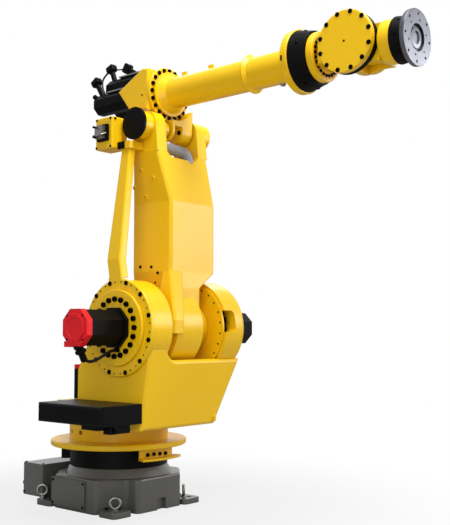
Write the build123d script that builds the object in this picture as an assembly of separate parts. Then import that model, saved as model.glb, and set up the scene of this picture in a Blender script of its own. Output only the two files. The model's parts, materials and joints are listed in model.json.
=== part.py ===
"""Six-axis industrial robot arm, in millimetres, +Z up, +X the way the arm reaches."""
import math
import os

from build123d import *

# Driving dimensions of the arm's axes. The origin is on the floor, under the first axis.
shoulder_offset = 280
shoulder_height = 735
arm_length = 813
elbow_rise = 152
forearm_reach = 934
wrist_reach = 222
wrist_droop_degrees = 3

# Clearances that every fit shares.
running_gap = 0.5
overrun = 20

# Base casting, bolted to the floor.
base_width = 490
base_lug_length = 98
base_lug_thickness = 22
base_corner_radius = 18
base_lug_overhang = 10
base_body_height = 134
base_corner_cut = 106
front_face_run = 123
front_notch_depth = 61
front_wall_run = 116
base_side_radius = 22
base_edge_radius = 9
deck_body_gap = 3
deck_slope = 22
deck_height = 170
notch_width = 48
notch_depth = 14
notch_height = 46
notch_side = 22
base_bolt_edge = 35
base_bolt_radius = 11

# Fittings on the base.
side_cover_length = 208
side_cover_height = 112
side_cover_thickness = 6
side_cover_shift = 40
side_cover_floor_gap = 12
connector_box_depth = 137
connector_box_width = 300
connector_box_height = 136
connector_box_shift = 66
connector_box_floor_gap = 24
connector_box_radius = 8
eye_ring_radius = 20
eye_wire_radius = 6
eye_shank_radius = 8
eye_shank_height = 14
eye_wall_gap = 12

# Slewing bearing and turntable on the first axis.
bearing_radius = 205
bearing_edge_radius = 4
turntable_radius = 284
turntable_bottom = 250
turntable_thickness = 24
turntable_edge_radius = 7
neck_radius = 207
neck_top = 346
neck_hole_width = 20
neck_hole_height = 16
neck_hole_depth = 30
neck_hole_degrees = (-112, -91)

# Hard stop under the turntable's front edge, and the lead guide under its back.
stop_inner_radius = 226
stop_outer_radius = 276
stop_web_thickness = 12
stop_drop = 46
stop_lip = 9
stop_from_degrees = -22
stop_to_degrees = 25
guide_inner_radius = 214
guide_outer_radius = 246
guide_drop = 66
guide_from_degrees = 196
guide_to_degrees = 218

# Turret casting: a deck, a sloping front wall and two cheeks.
turret_left = 252
turret_right_top = 274
turret_right_bottom = 160
turret_front_top = 440
turret_front_bottom = 400
turret_back = 30
turret_top = 610
turret_wall = 28
turret_deck_back = 206
turret_deck_half_width = 176
turret_deck_top = 432
turret_edge_radius = 15
turret_blend_radius = 52
pocket_floor = 470
pocket_left = 150
pocket_right = 165
web_foot_height = 566
web_top_drop = 44
web_back = 182

# Left shoulder drum and the fixed cap that carries its motor.
drum_radius = 186
drum_back = 155
ring_face = 267
ring_radius = 189
ring_bore_radius = 148
ring_edge_radius = 6
cap_face = 280
cap_edge_radius = 4

# Right shoulder ring and housing.
right_ring_face = 141
right_ring_radius = 182
right_ring_thickness = 8
housing_radius = 194
housing_face = 273
housing_edge_radius = 24
housing_wall = 52
window_drop = 18
window_rise = 71
window_width = 58
window_corner_radius = 18

# Servo motors, octagonal in section.
motor_width = 134
motor_corner_radius = 3
motor_length = 172
motor_cap_width = 138
motor_cap_thickness = 26
motor_lip_width = 60
motor_lip_height = 22
motor_lip_drop = 3
motor_flange_width = 152
motor_flange_thickness = 14
right_motor_length = 196
slew_motor_width = 108
slew_motor_height = 128
slew_motor_cap_thickness = 18
slew_motor_back = 158
slew_motor_side = 30

# Control box on the left flank of the turret.
side_box_length = 372
side_box_width = 198
side_box_height = 73
side_box_bottom = 377
side_box_front = 402
side_box_radius = 10
box_foot_lengths = (92, 40)
box_foot_widths = (34, 96)
box_foot_drops = (14, 30)
box_foot_fronts = (28, 10)
box_foot_sides = (8, 52)

# Lower arm casting: section heights above the shoulder axis, and drops below the elbow axis.
arm_left = 91
arm_right = 171
arm_half_depth = 110
arm_root_left = 78
arm_root_right = 80
arm_root_half_depth = 115
arm_taper_start = 160
arm_taper_end = 225
arm_crease_drop = 309
arm_fork_drop = 107
arm_fork_left = 130
arm_fork_right = 163
arm_fork_half_depth = 72
arm_corner_radius = 14
hub_radius = 166
hub_step_radius = 148
hub_left = 140
hub_step_right = 105
hub_right = 40
hub_neck_radius = 98
pad_start = 60
pad_depth = 172
pad_left = 133
pad_right = 72
pad_top_right = 20
pad_drop = 22
pad_rise = 30
pad_radius = 12

# Fork and bosses at the elbow axis.
fork_floor_drop = 126
fork_inner_left = 22
fork_inner_right = 108
fork_slot_radius = 34
fork_step = 74
fork_step_radius = 34
fork_radius = 62
boss_radius = 55
boss_face = 183
elbow_cover_radius = 65
elbow_cover_thickness = 10
barrel_radius = 60
barrel_face = 202
barrel_edge_radius = 9

# Outboard strut beside the lower arm.
strut_width = 74
strut_thickness = 39
strut_corner_radius = 7
strut_foot_clearance = 6
strut_foot_shift = -18
strut_knee_rise = 70
strut_knee_shift = -31
strut_top_drop = 100
strut_top_face = 200
strut_top_shift = -38
strut_top_width = 48
strut_top_thickness = 34
strut_tab_overlap = 34
collar_height = 30
collar_margin = 8

# Junction box behind the elbow cover.
junction_depth = 99
junction_width = 84
junction_height = 130
junction_gap = 20
junction_face = 240
junction_drop = 96
junction_radius = 6
socket_depth = 30
socket_width = 42
socket_height = 51
socket_shift = 28
bracket_width = 24
bracket_height = 46

# Elbow casing at the back of the forearm, places taken from the elbow axis.
casing_half_width = 108
casing_front = -9
casing_bottom = 74
casing_low_back = 122
casing_low_rise = 90
casing_tip_back = 190
casing_tip_rise = 177
casing_top_back = 43
casing_top_rise = 252
casing_front_drop = 18
casing_edge_radius = 9
lug_radius = 46
lug_side_gap = 7
lug_top_back = 112
lug_body_rise = 18
left_lug_thickness = 12
right_lug_thickness = 61
journal_radius = 28

# Forearm tube.
flange_radius = 112
flange_thickness = 16
flange_edge_radius = 3
socket_ring_radius = 92
socket_ring_thickness = 12
cone_radius = 80
cone_length = 30
tube_radius = 62
collar_ring_radius = 75
collar_ring_start = 425
collar_ring_length = 26
end_cone_length = 40
end_disc_radius = 118
end_disc_thickness = 30
end_disc_edge_radius = 5
roll_ring_length = 64
roll_ring_radius = 113
roll_ring_front_radius = 98
rib_length = 24
rib_thickness = 10
rib_rise = 18
rib_starts = (94, 240)

# Forearm drive motors behind the casing, with their top plates and lead connectors.
drive_width = 84
drive_corner_radius = 4
drive_side = 60
drive_low_rise = 152
drive_high_rise = 230
drive_low_back = 350
drive_high_back = 340
drive_front_back = 90
plate_thickness = 6
plate_width = 56
plate_back_share = 0.8
connector_radius = 12
connector_backs = (327, 184, 337)
connector_sides = (0, 10, -60)
connector_lengths = (64, 87, 81)
connector_leans = (22, 58, 32)
connector_head_length = 44
connector_head_width = 36
connector_head_height = 32
connector_head_radius = 8

# Wrist: roll hub, fork, pitch drum and tool flange.
roll_hub_radius = 91
roll_hub_length = 28
roll_hub_edge_radius = 4
roll_hub_to_wrist = 142
cover_radius = 108
cover_face = 102
cover_thickness = 20
cover_edge_radius = 3
seal_radius = 105
seal_thickness = 7
cheek_radius = 104
cheek_thickness = 20
bearing_side_share = 0.66
web_length = 32
web_half_height = 48
neck_gap = 16
pitch_drum_radius = 85
nose_radius = 76
nose_block_rise = 56
nose_block_drop = 72
nose_start = 112
nose_length = 44
nose_pocket_depth = 16
nose_pocket_margin = 11
nose_edge_radius = 4
tool_ring_radius = 80
tool_ring_front_radius = 74
tool_flange_radius = 95
tool_flange_thickness = 16
tool_flange_edge_radius = 2
tool_bore_radius = 46
tool_bolt_circle_radius = 80
tool_bolt_radius = 5
tool_bolt_count = 8
tool_dowel_circle_radius = 60
tool_dowel_radius = 4
tool_dowel_count = 6
tool_dowel_turn = 20

# Places worked out from the driving dimensions.
base_body_width = base_width - 2 * base_lug_overhang
base_bolt_spacing = base_width - 2 * base_bolt_edge
front_face_half = base_body_width / 2 - front_face_run
front_wall_shift = base_body_width / 2 - front_wall_run
arm_crease = arm_length - arm_crease_drop
arm_fork = arm_length - arm_fork_drop
eye_spacing = base_body_width - base_corner_cut + 2 * eye_wall_gap
shoulder = Vector(shoulder_offset, 0, shoulder_height)
elbow = shoulder + Vector(0, 0, arm_length)
wrist = elbow + Vector(forearm_reach, 0, elbow_rise)
bearing_top = turntable_bottom - running_gap
flange_back = elbow.X + casing_front
roll_hub_front = wrist.X - roll_hub_to_wrist
roll_ring_front = roll_hub_front - roll_hub_length
end_disc_front = roll_ring_front - roll_ring_length
cover_back = cover_face - cover_thickness
cheek_face = cover_back - seal_thickness
cheek_back = cheek_face - cheek_thickness


def block(low, high):
    """A box between two opposite corners."""
    size = [b - a for a, b in zip(low, high)]
    middle = [(a + b) / 2 for a, b in zip(low, high)]
    return Pos(*middle) * Box(*size)


def round_x(radius, start, end, centre):
    """A cylinder along X through a centre point."""
    return Pos((start + end) / 2, centre.Y, centre.Z) * Rot(0, 90, 0) * Cylinder(radius, end - start)


def round_y(radius, start, end, centre):
    """A cylinder along Y through a centre point."""
    return Pos(centre.X, (start + end) / 2, centre.Z) * Rot(90, 0, 0) * Cylinder(radius, end - start)


def round_z(radius, bottom, top, centre=Vector(0, 0, 0)):
    """A cylinder along Z through a centre point."""
    return Pos(centre.X, centre.Y, (bottom + top) / 2) * Cylinder(radius, top - bottom)


def cone_x(start_radius, end_radius, start, end, centre):
    """A cone along X through a centre point."""
    return Pos((start + end) / 2, centre.Y, centre.Z) * Rot(0, 90, 0) * Cone(start_radius, end_radius, end - start)


def plate_xz(points, start, end):
    """An outline of X and Z points, carried along Y."""
    outline = Plane.XZ * Polygon(*points, align=None)
    return Pos(0, start, 0) * extrude(outline, end - start, dir=(0, 1, 0))


def plate_yz(points, start, end):
    """An outline of Y and Z points, carried along X."""
    outline = Plane.YZ * Polygon(*points, align=None)
    return Pos(start, 0, 0) * extrude(outline, end - start, dir=(1, 0, 0))


def sector_z(inner, outer, bottom, top, from_degrees, to_degrees):
    """Part of a ring about Z, between two angles."""
    reach = outer / math.cos(math.radians(to_degrees - from_degrees) / 2)
    wedge = Polygon(
        (0, 0),
        (reach * math.cos(math.radians(from_degrees)), reach * math.sin(math.radians(from_degrees))),
        (reach * math.cos(math.radians(to_degrees)), reach * math.sin(math.radians(to_degrees))),
        align=None,
    )
    ring = round_z(outer, bottom, top) - round_z(inner, bottom, top)
    return ring & Pos(0, 0, bottom) * extrude(wedge, top - bottom, dir=(0, 0, 1))


def octagon_x(width, start, end, centre, corner):
    """An eight-sided bar along X, with flats on top and at the sides and rounded corners."""
    outline = RegularPolygon(width / 2, 8, major_radius=False, rotation=180 / 8)
    outline = fillet(outline.vertices(), corner)
    return Pos(start, centre.Y, centre.Z) * extrude(Plane.YZ * outline, end - start, dir=(1, 0, 0))


def octagon_y(width, start, end, centre, corner):
    """An eight-sided bar along Y, with flats on top and at the sides and rounded corners."""
    outline = RegularPolygon(width / 2, 8, major_radius=False, rotation=180 / 8)
    outline = fillet(outline.vertices(), corner)
    return Pos(centre.X, start, centre.Z) * extrude(Plane.XZ * outline, end - start, dir=(0, 1, 0))


def rounded_section(left, right, half_depth, height, corner, middle=shoulder_offset):
    """A level rounded rectangle between two Y places, centred on one X place."""
    outline = RectangleRounded(2 * half_depth, right - left, corner)
    return Pos(middle, (left + right) / 2, height) * outline


def corners(spacing):
    """The four corners of a square about the first axis."""
    half = spacing / 2
    return [(half, half), (half, -half), (-half, half), (-half, -half)]


def base_casting():
    lug_shift = base_width - base_lug_length
    lugs = [Pos(x, y) * RectangleRounded(base_lug_length, base_lug_length, base_corner_radius)
            for x, y in corners(lug_shift)]
    half = base_body_width / 2
    near = half - base_corner_cut
    front = [(front_wall_shift, -half), (half - front_notch_depth, -front_face_half), (half, -front_face_half)]
    back = [(-near, half), (-half, near)]
    outline = front + [(half, near), (near, half)] + back + [(x, -y) for x, y in reversed(back)]
    body = extrude(Polygon(*outline, align=None), base_body_height)
    body = fillet(body.edges().filter_by(Axis.Z), base_side_radius)
    body = fillet(body.edges().group_by(Axis.Z)[-1], base_edge_radius)
    deck_rise = deck_height - base_body_height
    deck_foot = half - base_edge_radius - deck_body_gap
    deck = Pos(0, 0, base_body_height + deck_rise / 2) * Cone(deck_foot, deck_foot - deck_slope, deck_rise)
    casting = body + deck
    for lug in lugs:
        casting += extrude(lug, base_lug_thickness, dir=(0, 0, 1))
    casting -= block((half - notch_depth, notch_side - notch_width / 2, -overrun),
                     (half + base_width, notch_side + notch_width / 2, notch_height))
    for x, y in corners(base_bolt_spacing):
        casting -= round_z(base_bolt_radius, -overrun, base_body_height, Vector(x, y, 0))
    return casting


def base_side_cover():
    face = -base_body_width / 2
    back = -side_cover_shift - side_cover_length / 2
    return block((back, face - side_cover_thickness, side_cover_floor_gap),
                 (back + side_cover_length, face, side_cover_floor_gap + side_cover_height))


def base_connector_box():
    face = -base_body_width / 2
    middle = -connector_box_shift
    box = block((face - connector_box_depth, middle - connector_box_width / 2, connector_box_floor_gap),
                (face, middle + connector_box_width / 2, connector_box_floor_gap + connector_box_height))
    return fillet(box.faces().sort_by(Axis.X)[0].edges(), connector_box_radius)


def lifting_eyes():
    eyes = []
    for x, y in corners(eye_spacing):
        top = base_lug_thickness + eye_shank_height
        shank = round_z(eye_shank_radius, base_lug_thickness, top - eye_wire_radius, Vector(x, y, 0))
        turn = math.degrees(math.atan2(y, x))
        ring = Pos(x, y, top + eye_ring_radius - eye_wire_radius) * Rot(0, 0, turn) * Rot(0, 90, 0)
        eyes.append(shank + ring * Torus(eye_ring_radius, eye_wire_radius))
    return Compound(children=[eye.solid() for eye in eyes])


def slew_bearing():
    bearing = round_z(bearing_radius, deck_height, bearing_top)
    return fillet(bearing.edges().group_by(Axis.Z)[-1], bearing_edge_radius)


def turntable():
    top = turntable_bottom + turntable_thickness
    disc = round_z(turntable_radius, turntable_bottom, top)
    disc = fillet(disc.edges(), turntable_edge_radius)
    table = disc + round_z(neck_radius, top, neck_top)
    middle = (top + neck_top) / 2
    for degrees in neck_hole_degrees:
        hole = Rot(0, 0, degrees) * Pos(neck_radius, 0, middle)
        table -= hole * Box(2 * neck_hole_depth, neck_hole_width, neck_hole_height)
    return table


def slew_stop():
    bottom = turntable_bottom - stop_drop
    web = sector_z(stop_inner_radius, stop_inner_radius + stop_web_thickness, bottom, turntable_bottom,
                   stop_from_degrees, stop_to_degrees)
    lip = sector_z(stop_inner_radius, stop_outer_radius, bottom, bottom + stop_lip,
                   stop_from_degrees, stop_to_degrees)
    return web + lip


def lead_guide():
    return sector_z(guide_inner_radius, guide_outer_radius, turntable_bottom - guide_drop, turntable_bottom,
                    guide_from_degrees, guide_to_degrees)


def turret_front_at(height):
    """X place of the sloping front wall's outer face."""
    share = (height - neck_top) / (turret_top - neck_top)
    return turret_front_bottom + share * (turret_front_top - turret_front_bottom)


def turret_casting():
    web_top = shoulder.Z - web_top_drop
    side = [(turret_back, neck_top), (turret_front_bottom, neck_top), (turret_front_at(web_top), web_top),
            (shoulder.X - web_back, web_top), (turret_back, web_foot_height)]
    front = [(-turret_left, neck_top), (turret_right_bottom, neck_top), (turret_right_top, turret_top),
             (-drum_back, turret_top), (-drum_back, web_top), (-turret_left, web_top)]
    outline = Plane.YZ * Polygon(*front, align=None)
    inside = outline.vertices().sort_by_distance((0, -drum_back, turret_top))[0]
    outline = fillet(inside, turret_blend_radius)
    tower = plate_xz(side, -turret_left, turret_right_top) & extrude(outline, 2 * turret_front_top, dir=(1, 0, 0))
    tower = fillet(tower.faces().sort_by(Axis.X)[-1].edges(), turret_edge_radius)
    deck = block((-turret_deck_back, -turret_deck_half_width, neck_top),
                 (turret_back, turret_deck_half_width, turret_deck_top))
    deck = fillet(deck.faces().sort_by(Axis.X)[0].edges(), turret_edge_radius)
    low_front = turret_front_at(pocket_floor) - turret_wall
    high_front = turret_front_at(web_top) - turret_wall
    pocket = [(turret_back - overrun, pocket_floor), (low_front, pocket_floor), (high_front, web_top + overrun),
              (turret_back - overrun, web_top + overrun)]
    tower -= plate_xz(pocket, -pocket_left, pocket_right)
    right_web = [(turret_back, web_foot_height), (shoulder.X - web_back, web_top),
                 (turret_front_at(web_top) - turret_wall, web_top), (turret_front_top - turret_wall, web_foot_height)]
    casting = tower + deck + plate_xz(right_web, pocket_right, housing_face)
    casting -= round_y(drum_radius, -turret_left - overrun, -drum_back + overrun, shoulder)
    casting -= round_y(housing_radius, right_ring_face, housing_face + overrun, shoulder)
    return casting


def shoulder_drum():
    return round_y(drum_radius, -turret_left, -drum_back, shoulder)


def shoulder_cap():
    cap = round_y(ring_bore_radius - running_gap, -cap_face, -turret_left, shoulder)
    return fillet(cap.edges().group_by(Axis.Y)[0], cap_edge_radius)


def shoulder_motor():
    body = octagon_y(motor_width, -cap_face - motor_length, -cap_face, shoulder, motor_corner_radius)
    flange = octagon_y(motor_flange_width, -cap_face - motor_flange_thickness, -cap_face, shoulder,
                       motor_corner_radius)
    return body + flange


def shoulder_motor_cap():
    start = -cap_face - motor_length - motor_cap_thickness
    cap = octagon_y(motor_cap_width, start, start + motor_cap_thickness, shoulder, motor_corner_radius)
    low = shoulder.Z - motor_cap_width / 2 - motor_lip_drop
    lip = block((shoulder.X - motor_lip_width, start, low),
                (shoulder.X, start + motor_cap_thickness, low + motor_lip_height))
    return cap + lip


def right_ring():
    return round_y(right_ring_radius, right_ring_face, right_ring_face + right_ring_thickness, shoulder)


def right_housing():
    start = right_ring_face + right_ring_thickness
    housing = round_y(housing_radius, start, housing_face, shoulder)
    housing = fillet(housing.edges().group_by(Axis.Y)[-1], housing_edge_radius)
    window = block((shoulder.X, start - window_corner_radius, shoulder.Z - window_drop),
                   (shoulder.X + 2 * housing_radius, start + window_width, shoulder.Z + window_rise))
    window = fillet(window.edges().filter_by(Axis.X), window_corner_radius)
    return housing - (window - round_y(housing_radius - housing_wall, right_ring_face, housing_face, shoulder))


def right_motor():
    return octagon_y(motor_width, housing_face, housing_face + right_motor_length, shoulder, motor_corner_radius)


def slew_motor():
    outline = fillet(Rectangle(slew_motor_width, slew_motor_width).vertices(), slew_motor_width / 5)
    base = Pos(-slew_motor_back, -slew_motor_side, turret_deck_top)
    return base * extrude(outline, slew_motor_height)


def slew_motor_cap():
    outline = fillet(Rectangle(slew_motor_width, slew_motor_width).vertices(), slew_motor_width / 5)
    base = Pos(-slew_motor_back, -slew_motor_side, turret_deck_top + slew_motor_height)
    return base * extrude(outline, slew_motor_cap_thickness)


def side_box():
    box = block((side_box_front - side_box_length, -turret_left - side_box_width, side_box_bottom),
                (side_box_front, -turret_left, side_box_bottom + side_box_height))
    return fillet(box.faces().sort_by(Axis.Y)[0].edges(), side_box_radius)


def side_box_feet():
    feet = []
    for length, width, drop, front, side in zip(box_foot_lengths, box_foot_widths, box_foot_drops,
                                                box_foot_fronts, box_foot_sides):
        near = -turret_left - side_box_width + side
        feet.append(block((side_box_front - front - length, near, side_box_bottom - drop),
                          (side_box_front - front, near + width, side_box_bottom)))
    return Compound(children=[foot.solid() for foot in feet])


def arm_sections():
    """Level sections of the lower arm, from the shoulder up to the fork."""
    base = shoulder.Z
    corner = arm_corner_radius
    return [
        rounded_section(-arm_root_left, arm_root_right, arm_root_half_depth, base, corner),
        rounded_section(-arm_root_left, arm_root_right, arm_root_half_depth, base + arm_taper_start, corner),
        rounded_section(-arm_left, arm_right, arm_half_depth, base + arm_taper_end, corner),
        rounded_section(-arm_left, arm_right, arm_half_depth, base + arm_crease, corner),
        rounded_section(-arm_fork_left, arm_fork_right, arm_fork_half_depth, base + arm_fork, corner),
    ]


def fork_cheek(start, end, radius):
    """One ear of the fork, rounded about the elbow axis."""
    low = shoulder.Z + arm_fork
    ear = [(elbow.X - arm_fork_half_depth, low), (elbow.X + arm_fork_half_depth, low),
           (elbow.X + radius, elbow.Z), (elbow.X - radius, elbow.Z)]
    return plate_xz(ear, start, end) + round_y(radius, start, end, elbow)


def arm_casting():
    column = loft(arm_sections(), ruled=True)
    hub = round_y(hub_radius, -hub_step_right, hub_right, shoulder)
    hub += round_y(hub_step_radius, -hub_left, -hub_step_right, shoulder)
    pad_levels = [(-pad_drop, pad_depth, pad_left, pad_right), (pad_rise, pad_depth, pad_left, pad_right),
                  (arm_taper_end, arm_half_depth, arm_left, pad_top_right)]
    pad = loft([Pos(shoulder.X + (pad_start + depth) / 2, -(left + right) / 2, shoulder.Z + rise)
                * RectangleRounded(depth - pad_start, left - right, pad_radius)
                for rise, depth, left, right in pad_levels], ruled=True)
    necks = round_y(hub_neck_radius, -drum_back + running_gap, right_ring_face - running_gap, shoulder)
    slot_low = elbow.Z - fork_floor_drop
    slot = block((elbow.X - 2 * arm_half_depth, -fork_step, slot_low),
                 (elbow.X + 2 * arm_half_depth, fork_inner_right, elbow.Z + 2 * fork_radius))
    column -= fillet(slot.edges().filter_by(Axis.X).group_by(Axis.Z)[0], fork_slot_radius)
    left_ear = fork_cheek(-arm_fork_left, -fork_step, fork_radius)
    left_ear += round_y(fork_step_radius, -fork_step, -fork_inner_left, elbow)
    right_ear = fork_cheek(fork_inner_right, arm_fork_right, fork_radius)
    boss = round_y(boss_radius, -boss_face, -arm_fork_left, elbow)
    return column + hub + pad + necks + left_ear + right_ear + boss


def elbow_cover():
    return round_y(elbow_cover_radius, -boss_face - elbow_cover_thickness, -boss_face, elbow)


def elbow_barrel():
    barrel = round_y(barrel_radius, arm_fork_right, barrel_face, elbow)
    return fillet(barrel.edges().group_by(Axis.Y)[-1], barrel_edge_radius)


def strut_section(face, thickness, width, shift, height):
    outline = RectangleRounded(width, thickness, strut_corner_radius)
    return Pos(shoulder.X + shift, -face + thickness / 2, height) * outline


def strut_top_height():
    return elbow.Z - strut_top_drop


def outboard_strut():
    foot = shoulder.Z + ring_radius + strut_foot_clearance
    bar = loft([
        strut_section(ring_face, strut_thickness, strut_width, strut_foot_shift, foot),
        strut_section(ring_face, strut_thickness, strut_width, strut_knee_shift, foot + strut_knee_rise),
        strut_section(strut_top_face, strut_top_thickness, strut_top_width, strut_top_shift, strut_top_height()),
    ], ruled=True)
    ring = round_y(ring_radius, -ring_face, -turret_left - running_gap, shoulder)
    ring = fillet(ring.edges().group_by(Axis.Y)[0], ring_edge_radius)
    middle = shoulder.X + strut_foot_shift
    tab = block((middle - strut_width / 2, -ring_face, foot - strut_tab_overlap),
                (middle + strut_width / 2, -turret_left - running_gap, foot))
    strut = bar + ring + tab
    return strut - round_y(ring_bore_radius, -ring_face - overrun, -turret_left + overrun, shoulder)


def strut_collar():
    """Clamp that ties the strut's top to the fork's left ear."""
    height = strut_top_height()
    middle = shoulder.X + strut_top_shift
    half = strut_top_width / 2 + collar_margin
    face = strut_top_face + collar_margin
    return block((middle - half, -face, height), (middle + half, -arm_fork_left, height + collar_height))


def junction_low_corner():
    front = elbow.X - boss_radius - junction_gap
    return Vector(front - junction_depth, -junction_face, elbow.Z - junction_drop)


def junction_box():
    low = junction_low_corner()
    high = low + Vector(junction_depth, junction_width, junction_height)
    box = block(tuple(low), tuple(high))
    return fillet(box.edges(), junction_radius)


def junction_socket():
    low = junction_low_corner() + Vector(socket_shift, -socket_depth, (junction_height - socket_height) / 2)
    return block(tuple(low), tuple(low + Vector(socket_width, socket_depth, socket_height)))


def junction_bracket():
    front = elbow.X - boss_radius - junction_gap
    middle = -junction_face + junction_width - bracket_width
    arm = block((front, middle, elbow.Z - bracket_height / 2),
                (elbow.X, middle + bracket_width, elbow.Z + bracket_height / 2))
    return arm - round_y(boss_radius, -junction_face, 0, elbow)


def elbow_casing():
    outline = [(elbow.X + casing_front, elbow.Z + casing_bottom),
               (elbow.X + casing_front, elbow.Z + elbow_rise + flange_radius - casing_front_drop),
               (elbow.X - casing_top_back, elbow.Z + casing_top_rise),
               (elbow.X - casing_tip_back, elbow.Z + casing_tip_rise),
               (elbow.X - casing_low_back, elbow.Z + casing_low_rise)]
    shell = plate_xz(outline, -casing_half_width, casing_half_width)
    sides = shell.faces().sort_by(Axis.Y)[0].edges() + shell.faces().sort_by(Axis.Y)[-1].edges()
    shell = fillet(sides, casing_edge_radius)
    left = -fork_inner_left + lug_side_gap
    right = fork_inner_right - lug_side_gap
    body = plate_xz([(elbow.X - lug_radius, elbow.Z + lug_body_rise), (elbow.X + lug_radius, elbow.Z + lug_body_rise),
                     (elbow.X + lug_radius, elbow.Z + casing_low_rise),
                     (elbow.X - lug_top_back, elbow.Z + casing_low_rise)], left, right)
    lugs = elbow_lug(left, left + left_lug_thickness) + elbow_lug(right - right_lug_thickness, right)
    journals = round_y(journal_radius, -fork_inner_left + running_gap, left, elbow)
    journals += round_y(journal_radius, right, fork_inner_right - running_gap, elbow)
    flange_room = round_x(flange_radius, flange_back, elbow.X + 2 * lug_radius, forearm_axis())
    return shell + (body + lugs + journals - flange_room)


def elbow_lug(start, end):
    """One eye of the casing, on the elbow axis."""
    web = block((elbow.X - lug_radius, start, elbow.Z),
                (elbow.X + lug_radius, end, elbow.Z + lug_body_rise))
    return round_y(lug_radius, start, end, elbow) + web


def forearm_axis():
    return elbow + Vector(0, 0, elbow_rise)


def forearm_tube():
    axis = forearm_axis()
    flange = round_x(flange_radius, flange_back, flange_back + flange_thickness, axis)
    flange = fillet(flange.edges().group_by(Axis.X)[-1], flange_edge_radius)
    step = flange_back + flange_thickness
    ring = round_x(socket_ring_radius, step, step + socket_ring_thickness, axis)
    step += socket_ring_thickness
    cone = cone_x(cone_radius, tube_radius, step, step + cone_length, axis)
    end = end_disc_front - end_disc_thickness
    tube = round_x(tube_radius, step, end, axis)
    tail = cone_x(tube_radius, collar_ring_radius, end - end_cone_length, end, axis)
    collar_start = step + collar_ring_start
    collar = cone_x(tube_radius, collar_ring_radius, collar_start, collar_start + collar_ring_length / 2, axis)
    collar += cone_x(collar_ring_radius, tube_radius, collar_start + collar_ring_length / 2,
                     collar_start + collar_ring_length, axis)
    arm = flange + ring + cone + tube + tail + collar
    for start in rib_starts:
        back = flange_back + start
        arm += block((back, -rib_thickness / 2, axis.Z), (back + rib_length, rib_thickness / 2,
                                                          axis.Z + tube_radius + rib_rise))
    return arm


def forearm_end_disc():
    disc = round_x(end_disc_radius, end_disc_front - end_disc_thickness, end_disc_front, forearm_axis())
    return fillet(disc.edges(), end_disc_edge_radius)


def roll_ring():
    return cone_x(roll_ring_radius, roll_ring_front_radius, end_disc_front, roll_ring_front - running_gap,
                  forearm_axis())


def drive_motor(side, rise, back):
    """One forearm motor, let into the casing's back, with its axis along the forearm."""
    centre = elbow + Vector(0, side, rise)
    motor = octagon_x(drive_width, elbow.X - back, elbow.X - drive_front_back, centre, drive_corner_radius)
    return motor - elbow_casing()


def drive_plate(side, rise, back):
    """Cover plate on the flat top of one forearm motor."""
    top = elbow.Z + rise + drive_width / 2
    plate = block((elbow.X - plate_back_share * back, side - plate_width / 2, top),
                  (elbow.X - drive_front_back, side + plate_width / 2, top + plate_thickness))
    return plate - elbow_casing()


def drive_plates():
    plates = [drive_plate(-drive_side, drive_low_rise, drive_low_back), drive_plate(0, drive_high_rise, drive_high_back)]
    return Compound(children=[plate.solid() for plate in plates])


def drive_connectors():
    """Lead connectors on the upper and left motors, leaning back from the casing."""
    upper = drive_motor(0, drive_high_rise, drive_high_back)
    left = drive_motor(-drive_side, drive_low_rise, drive_low_back)
    carriers = [upper, upper, left]
    posts = []
    for carrier, back, side, length, lean in zip(carriers, connector_backs, connector_sides, connector_lengths,
                                                 connector_leans):
        foot = Pos(elbow.X - back, side, carrier.bounding_box().max.Z) * Rot(0, -lean, 0)
        post = foot * round_z(connector_radius, -drive_width / 4, length)
        head = Pos(0, 0, length) * Box(connector_head_length, connector_head_width, connector_head_height)
        head = foot * fillet(head.edges(), connector_head_radius)
        posts.append((post + head - carrier - drive_plates()).solids().sort_by(Axis.Z)[-1])
    return Compound(children=posts)


def roll_hub():
    hub = round_x(roll_hub_radius, roll_ring_front, roll_hub_front, forearm_axis())
    hub = fillet(hub.edges(), roll_hub_edge_radius)
    web = block((roll_hub_front, -cheek_back, wrist.Z - web_half_height),
                (roll_hub_front + web_length, cheek_back, wrist.Z + web_half_height))
    return hub + web


def wrist_cheek(radius, start, end):
    """One side of the wrist fork: a round plate with a neck back to the hub."""
    neck = block((roll_hub_front + neck_gap, start, wrist.Z - web_half_height),
                 (wrist.X, end, wrist.Z + web_half_height))
    return round_y(radius, start, end, wrist) + neck


def wrist_seal(radius, start, end):
    return round_y(radius, start, end, wrist)


def wrist_cover(radius, start, end, outer_end):
    """A round cover with its outer edge eased; outer_end picks the end along Y."""
    cover = round_y(radius, start, end, wrist)
    return fillet(cover.edges().group_by(Axis.Y)[outer_end], cover_edge_radius)


def drooped(piece):
    """Turns a piece built along the forearm about the wrist axis, to the rest pose."""
    return Pos(*wrist) * Rot(0, wrist_droop_degrees, 0) * Pos(*(-wrist)) * piece


def pitch_drum():
    half = cheek_back - running_gap
    drum = round_y(pitch_drum_radius, -half, half, wrist)
    drum += block((wrist.X, -half, wrist.Z - nose_block_drop),
                  (wrist.X + nose_start, half, wrist.Z + nose_block_rise))
    nose_end = wrist.X + nose_start + nose_length
    nose = round_x(nose_radius, wrist.X + nose_start, nose_end, wrist)
    nose = fillet(nose.edges().group_by(Axis.X)[-1], nose_edge_radius)
    pocket_half = half - nose_pocket_margin
    pocket = block((wrist.X + nose_pocket_margin, -pocket_half, wrist.Z - 2 * nose_block_drop),
                   (wrist.X + nose_start - nose_pocket_margin, pocket_half,
                    wrist.Z - nose_block_drop + nose_pocket_depth))
    return drooped(drum - pocket + nose)


def tool_ring():
    start = wrist.X + nose_start + nose_length
    end = wrist.X + wrist_reach - tool_flange_thickness - running_gap
    return drooped(cone_x(tool_ring_radius, tool_ring_front_radius, start, end, wrist))


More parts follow.
